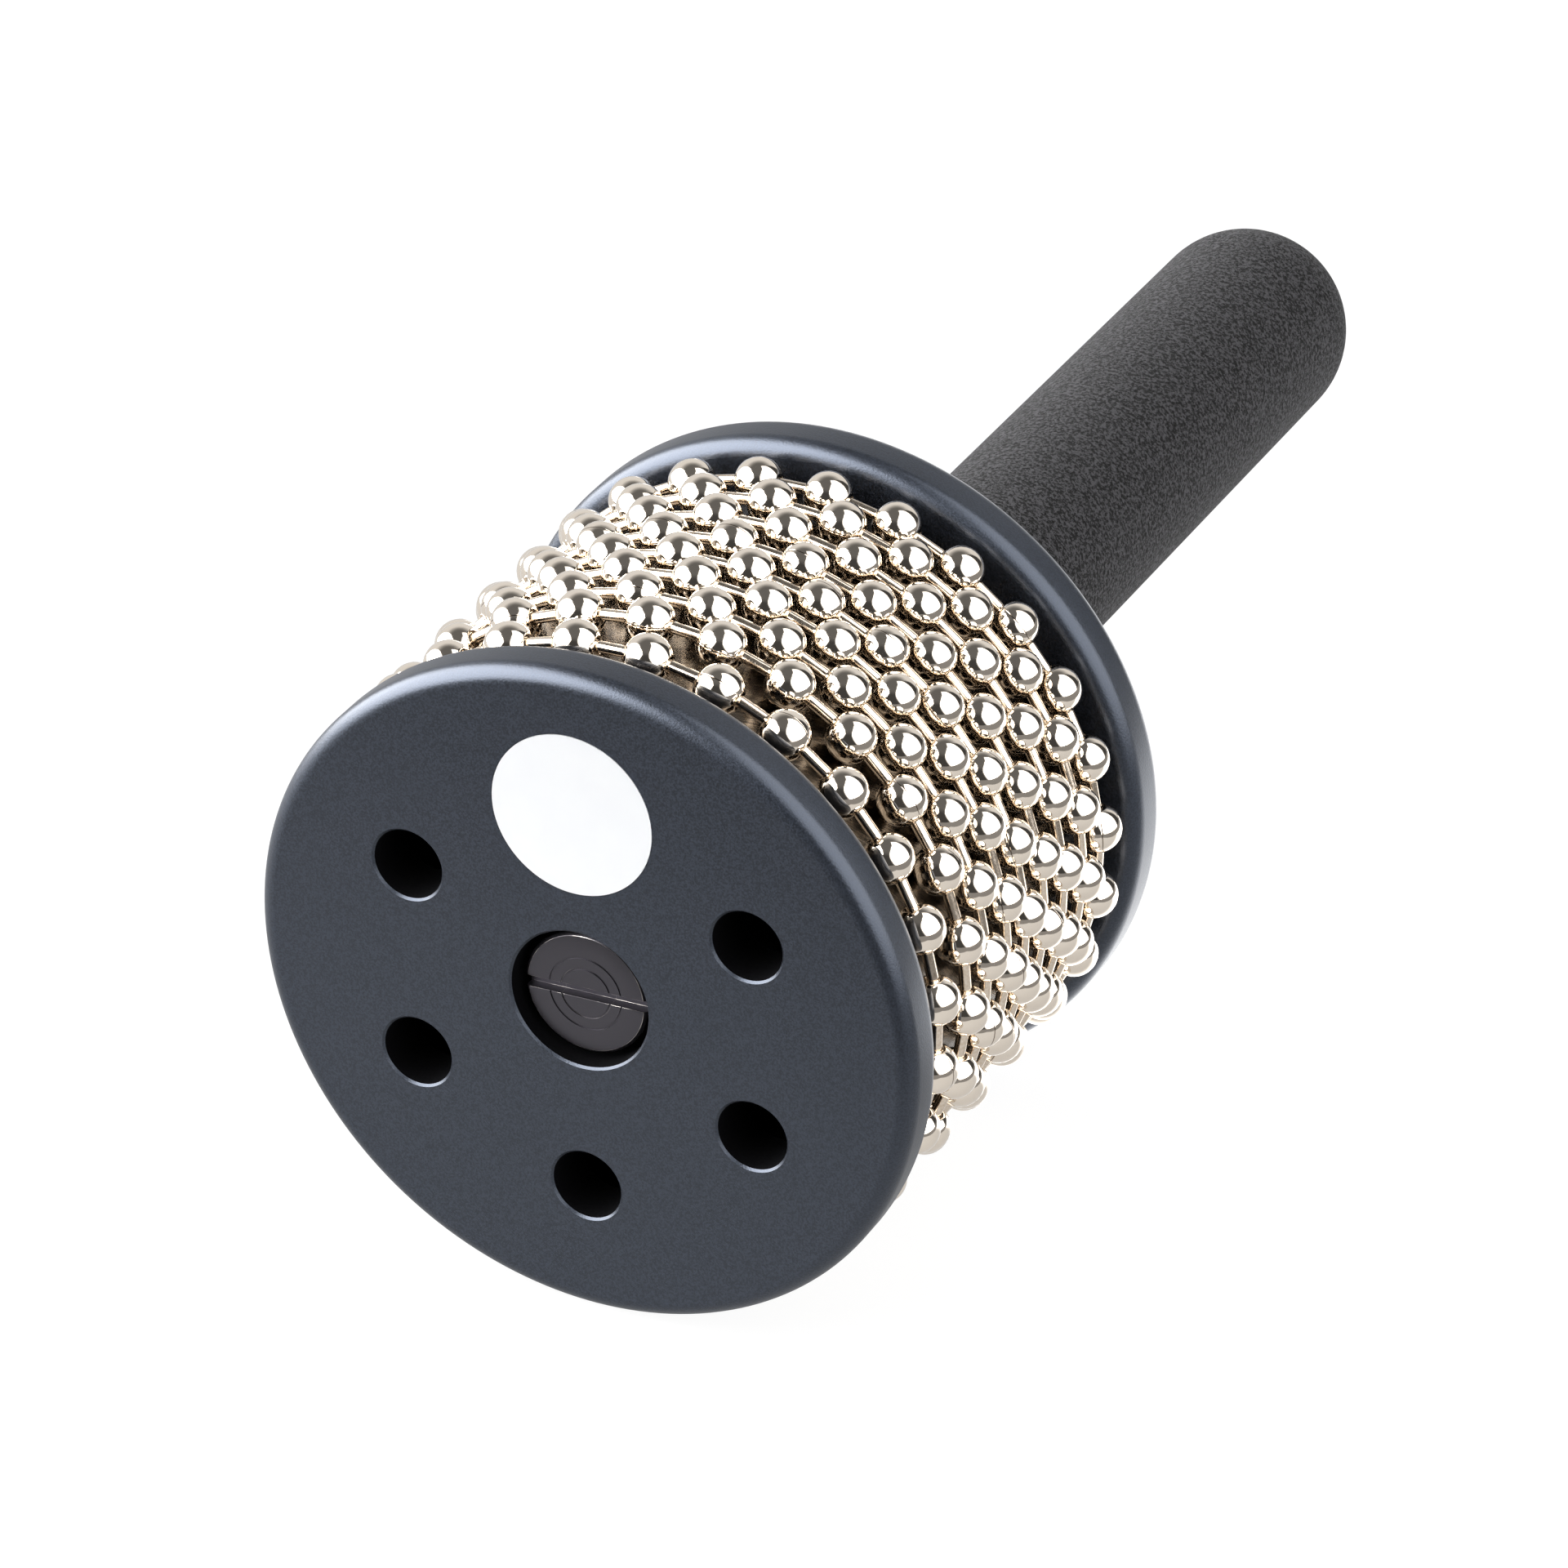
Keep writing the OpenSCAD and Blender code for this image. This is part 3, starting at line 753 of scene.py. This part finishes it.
# How bright each soft box is in a mirror, and how bright as a light on matt surfaces
RIGHT_MIRRORED = 4.5
LEFT_MIRRORED = 13.0
RIGHT_RADIANCE = 1.3
LEFT_RADIANCE = 4.4
CEILING_WATTS = 1.0
CEILING_LIGHT_SIZE = 1500.0
CEILING_LIGHT_UP = 1600.0
# Brightness round the photographer, overhead and behind the object, as shiny surfaces see it
DARK_ROOM = 0.06
GREY_CEILING = 0.15
PALE_BACKDROP = 0.85
UPWARDS = (0.0, 0.0, 1.0)
# Where the room and the backdrop turn into the ceiling, as sines of the elevation
ROOM_TO_CEILING = (0.6, 0.9)
BACKDROP_TO_CEILING = (0.5, 0.92)
# The backdrop sets in at these cosines, off the way ahead and off a bearing to its left
BACKDROP_AHEAD = (0.2, 0.35)
BACKDROP_LEFT_BEARING = -38
BACKDROP_LEFT = (0.0, 0.12)
# The white sheet that the object lies on ends in front of it and on its right: shares of
# the ways right and back in the direction of each edge, and how far out the edge lies
SHEET_EDGES = [(-0.313, 0.95, 215.0), (0.912, 0.41, 172.0)]
SHEET_EDGE_BLUR = 6.0
FLOOR_REACH = 4000.0
FLOOR_COLOUR = "#57504c"
SHEET_COLOUR = "#fbfbfb"
# To the camera the sheet is an even white, with a little of the shade that lies on it
SHEET_SEEN = 1.06
SHEET_SEEN_SHARE = 0.88
# What shiny surfaces see of the room's floor, of the sheet, and of the sheet's part under the
# right soft box, which sets in over these distances ahead and to the right of the origin.
# The floor glows for them, and the part under the right soft box glows brighter, a painted
# pool of light.
FLOOR_MIRRORED = 0.34
SHEET_MIRRORED = 0.72
LIT_SHEET_MIRRORED = 3.4
LIT_SHEET_AHEAD = (-75.0, -40.0)
LIT_SHEET_RIGHT = (-30.0, 10.0)
SHEET_MIRRORED_SHARE = 0.8


def heading(bearing, elevation):
    """The direction from the object at this bearing from the photographer's heading."""
    return view_direction(VIEW_AZIMUTH + 180 - bearing, elevation)


def past(tree, vector, way, start, end, low=0.0, high=1.0):
    """Goes smoothly from low to high as a place or direction gets from start to end along a way."""
    settings = {"operation": "DOT_PRODUCT", 1: tuple(way)}
    along = add_node(tree, "ShaderNodeVectorMath", settings, {0: vector}).outputs["Value"]
    settings = {"interpolation_type": "SMOOTHSTEP", "From Min": start, "From Max": end,
                "To Min": low, "To Max": high}
    return add_node(tree, "ShaderNodeMapRange", settings, {"Value": along})


def glow_material(name, radiance):
    """Light that is full where the face's inwardness is 1 and clears away to where it is 0."""
    material, tree = start_material(name)
    inwards = add_node(tree, "ShaderNodeUVMap", {"uv_map": "inwards"})
    share = add_node(tree, "ShaderNodeSeparateXYZ", {}, {"Vector": inwards})
    fall = add_node(tree, "ShaderNodeMath", {"operation": "POWER", 1: SOFT_EDGE_POWER}, {0: share})
    light = add_node(tree, "ShaderNodeEmission", {"Color": srgb("#ffffff"), "Strength": radiance})
    clear = add_node(tree, "ShaderNodeBsdfTransparent")
    shown = add_node(tree, "ShaderNodeMixShader", {}, {0: fall, 1: clear, 2: light})
    add_node(tree, "ShaderNodeOutputMaterial", {}, {"Surface": shown})
    return material


def add_softbox(name, corners, soft_edge, radiance, mirrored):
    """A glowing face whose corners lie at these bearings and elevations. Either shiny surfaces
    mirror it, or it lights the matt ones."""
    directions = [heading(*corner) for corner in corners]
    middle = sum(directions, Vector()).normalized()
    bm = bmesh.new()
    layer = bm.loops.layers.uv.new("inwards")
    rings = []
    for inwards in (0.0, soft_edge, 1.0):
        rays = [d.lerp(middle, inwards).normalized() for d in directions]
        spots = [d * STUDIO_REACH / max(SHALLOWEST, d.dot(middle)) for d in rays]
        rings.append([bm.verts.new(Vector(LIT_POINT) + spot) for spot in spots])
    for outer, inner in zip(rings, rings[1:]):
        for i, vert in enumerate(outer):
            j = (i + 1) % len(outer)
            quad = bm.faces.new((vert, outer[j], inner[j], inner[i]))
            for loop in quad.loops:
                loop[layer].uv = (float(loop.vert not in rings[0]), 0)
    bmesh.ops.remove_doubles(bm, verts=bm.verts, dist=SAME_HEIGHT)
    bm.transform(Matrix.Scale(MM, 4))
    mesh = bpy.data.meshes.new(name)
    bm.to_mesh(mesh)
    bm.free()
    mesh.materials.append(glow_material(name, radiance))
    face = bpy.data.objects.new(name, mesh)
    bpy.context.scene.collection.objects.link(face)
    face.visible_camera = False
    face.visible_shadow = False
    face.visible_glossy = mirrored
    face.visible_diffuse = not mirrored


def add_ceiling_light():
    """A wide soft light overhead, too faint to show in anything shiny."""
    data = bpy.data.lights.new("ceiling_light", "AREA")
    data.size = CEILING_LIGHT_SIZE * MM
    data.energy = CEILING_WATTS
    light = bpy.data.objects.new("ceiling_light", data)
    bpy.context.scene.collection.objects.link(light)
    light.location = (0, 0, CEILING_LIGHT_UP * MM)
    light.visible_camera = False
    light.visible_glossy = False


def add_world():
    world = bpy.data.worlds.new("studio")
    world.use_nodes = True
    tree = world.node_tree
    tree.nodes.clear()
    bpy.context.scene.world = world
    direction = add_node(tree, "ShaderNodeTexCoord").outputs["Generated"]
    ahead = past(tree, direction, heading(0, 0), *BACKDROP_AHEAD)
    leftwards = past(tree, direction, heading(BACKDROP_LEFT_BEARING, 0), *BACKDROP_LEFT)
    behind = add_node(tree, "ShaderNodeMath", {"operation": "MULTIPLY"}, {0: ahead, 1: leftwards})
    room = past(tree, direction, UPWARDS, *ROOM_TO_CEILING, DARK_ROOM, GREY_CEILING)
    backdrop = past(tree, direction, UPWARDS, *BACKDROP_TO_CEILING, PALE_BACKDROP, GREY_CEILING)
    level = add_node(tree, "ShaderNodeMix", {"data_type": "FLOAT"}, {0: behind, 2: room, 3: backdrop})
    seen = add_node(tree, "ShaderNodeLightPath").outputs["Is Camera Ray"]
    level = add_node(tree, "ShaderNodeMix", {"data_type": "FLOAT", 3: 1.0}, {0: seen, 2: level})
    white = {"Color": srgb("#ffffff")}
    surface = add_node(tree, "ShaderNodeBackground", white, {"Strength": level})
    add_node(tree, "ShaderNodeOutputWorld", {}, {"Surface": surface})


def white_sheet():
    """White paper inside the sheet's edges, and the dark floor of the room past them."""
    material, tree = start_material("white_sheet")
    place = add_node(tree, "ShaderNodeTexCoord").outputs["Object"]
    right, ahead = heading(90, 0), heading(0, 0)
    within = []
    for rightwards, backwards, reach in SHEET_EDGES:
        outwards = right * rightwards - ahead * backwards
        start, end = (reach - SHEET_EDGE_BLUR) * MM, (reach + SHEET_EDGE_BLUR) * MM
        within.append(past(tree, place, outwards, start, end, 1.0, 0.0))
    inside = add_node(tree, "ShaderNodeMath", {"operation": "MULTIPLY"}, dict(enumerate(within)))
    stops = [(0.0, FLOOR_COLOUR), (1.0, SHEET_COLOUR)]
    colour = add_node(tree, "ShaderNodeValToRGB", {"stops": stops}, {"Fac": inside})
    paper = add_node(tree, "ShaderNodeBsdfDiffuse", {}, {"Color": colour})

    even = add_node(tree, "ShaderNodeBsdfDiffuse", {"Color": srgb(SHEET_COLOUR)})
    light = add_node(tree, "ShaderNodeEmission", {"Color": srgb("#ffffff"), "Strength": SHEET_SEEN})
    shown = add_node(tree, "ShaderNodeMixShader", {0: SHEET_SEEN_SHARE}, {1: even, 2: light})

    # Painted pool of light: the sheet glows brighter in mirrors under the right soft box
    start, end = (limit * MM for limit in LIT_SHEET_RIGHT)
    lit_right = past(tree, place, right, start, end)
    start, end = (limit * MM for limit in LIT_SHEET_AHEAD)
    lit_ahead = past(tree, place, ahead, start, end)
    lit = add_node(tree, "ShaderNodeMath", {"operation": "MULTIPLY"}, {0: lit_ahead, 1: lit_right})
    settings = {"data_type": "FLOAT", 2: SHEET_MIRRORED, 3: LIT_SHEET_MIRRORED}
    sheet_level = add_node(tree, "ShaderNodeMix", settings, {0: lit})
    settings = {"data_type": "FLOAT", 2: FLOOR_MIRRORED}
    level = add_node(tree, "ShaderNodeMix", settings, {0: inside, 3: sheet_level})
    glow = add_node(tree, "ShaderNodeEmission", {"Color": srgb("#ffffff")}, {"Strength": level})
    mirrored = add_node(tree, "ShaderNodeMixShader", {0: SHEET_MIRRORED_SHARE}, {1: paper, 2: glow})

    rays = add_node(tree, "ShaderNodeLightPath").outputs
    links = {0: rays["Is Glossy Ray"], 1: paper, 2: mirrored}
    unseen = add_node(tree, "ShaderNodeMixShader", {}, links)
    links = {0: rays["Is Camera Ray"], 1: unseen, 2: shown}
    surface = add_node(tree, "ShaderNodeMixShader", {}, links)
    add_node(tree, "ShaderNodeOutputMaterial", {}, {"Surface": surface})
    return material


def add_floor():
    bm = bmesh.new()
    bmesh.ops.create_grid(bm, x_segments=1, y_segments=1, size=FLOOR_REACH * MM)
    mesh = bpy.data.meshes.new("floor")
    bm.to_mesh(mesh)
    bm.free()
    mesh.materials.append(white_sheet())
    floor = bpy.data.objects.new("floor", mesh)
    bpy.context.scene.collection.objects.link(floor)


bpy.context.scene.view_settings.view_transform = "Standard"
add_camera()
add_world()
add_floor()
for kind, right, left in (("lighting", RIGHT_RADIANCE, LEFT_RADIANCE),
                          ("mirrored", RIGHT_MIRRORED, LEFT_MIRRORED)):
    mirrored = kind == "mirrored"
    add_softbox(f"right_softbox_{kind}", RIGHT_SOFTBOX, RIGHT_SOFT_EDGE, right, mirrored)
    add_softbox(f"left_softbox_{kind}", LEFT_SOFTBOX, LEFT_SOFT_EDGE, left, mirrored)
add_ceiling_light()

disc_plastic = satin_abs()
add_front_disc(disc_plastic, hole_wall_abs_with_painted_shade())
add_back_disc(disc_plastic)
add_label(vinyl_film())
add_sleeve(embossed_stainless())
add_grip(charcoal_foam())
ball_plate = bright_nickel()
rod_plate = nickel_rod()
for row in range(1, LOOPS + 1):
    add_ball_row(row, ball_plate)
    add_link_row(row, rod_plate)
add_bolt(black_oxide_steel(), worn_edge_steel_with_painted_highlight())
paint("drum_core", plain_abs())
paint("wooden_handle", raw_beech())
paint("threaded_insert", turned_brass())
